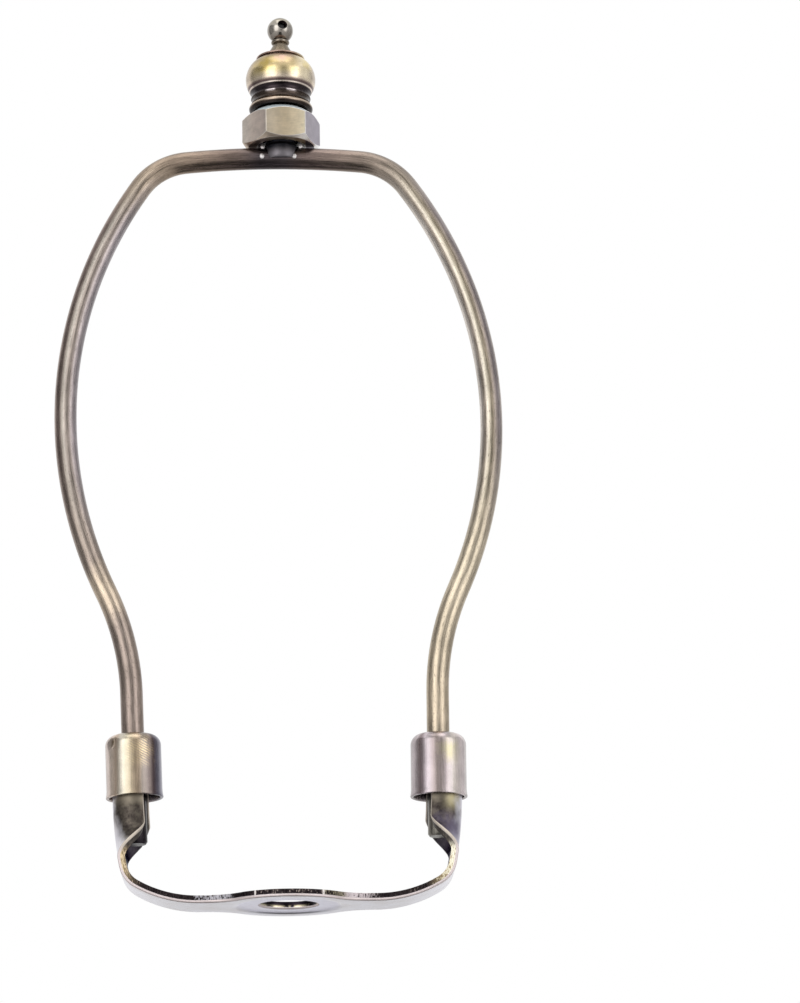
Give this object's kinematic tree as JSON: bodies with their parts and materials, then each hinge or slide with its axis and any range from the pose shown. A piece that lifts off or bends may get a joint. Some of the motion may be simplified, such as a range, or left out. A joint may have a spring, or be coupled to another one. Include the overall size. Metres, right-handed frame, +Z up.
{
  "type": "lamp harp",
  "caption": "Wire lamp harp with a stamped saddle, sliding leg sleeves, a threaded top stud, a hex nut and a turned ball finial.",
  "frame": {"origin": "centre of the saddle's pipe hole, on the plane of the saddle's underside", "axes": "+Z up through the pipe hole and the finial, X across the two legs, Y through the loop"},
  "size_m": [0.0849, 0.0248, 0.175],
  "materials": {
    "saddle_plate": "plated sheet steel, polished below, sheared edges left dark and rough",
    "loop_wire": "antique bronze plating, brushed along the wire",
    "stud": "dark, as rolled thread with a brazed foot",
    "sleeve": "antique brass, satin",
    "nut": "antique brass, satin flats and bright chamfer",
    "finial": "antique brass, turned and relieved, dark in the grooves"
  },
  "bodies": {
    "saddle": {"saddle": "saddle_plate"},
    "loop": {"harp_wire": "loop_wire", "top_stud": "stud"},
    "sleeve_left": {"sleeve_left": "sleeve"},
    "sleeve_right": {"sleeve_right": "sleeve"},
    "nut": {"hex_nut": "nut"},
    "finial": {"finial": "finial"}
  },
  "joints": [
    {"name": "loop_lift", "type": "slide", "parent": "saddle", "child": "loop", "axis": [0, 0, 1], "range_m": [0, 0.02]},
    {"name": "sleeve_left_slide", "type": "slide", "parent": "loop", "child": "sleeve_left", "axis": [-0.0329, 0, 0.9995], "range_m": [0, 0.0105]},
    {"name": "sleeve_right_slide", "type": "slide", "parent": "loop", "child": "sleeve_right", "axis": [0.009, 0, 1], "range_m": [0, 0.0105]},
    {"name": "nut_turn", "type": "hinge", "parent": "loop", "child": "nut", "pos_m": [0, 0, 0.1515], "axis": [0, 0, 1], "continuous": true},
    {"name": "finial_turn", "type": "hinge", "parent": "loop", "child": "finial", "pos_m": [0, 0, 0.165], "axis": [0, 0, 1], "continuous": true}
  ]
}
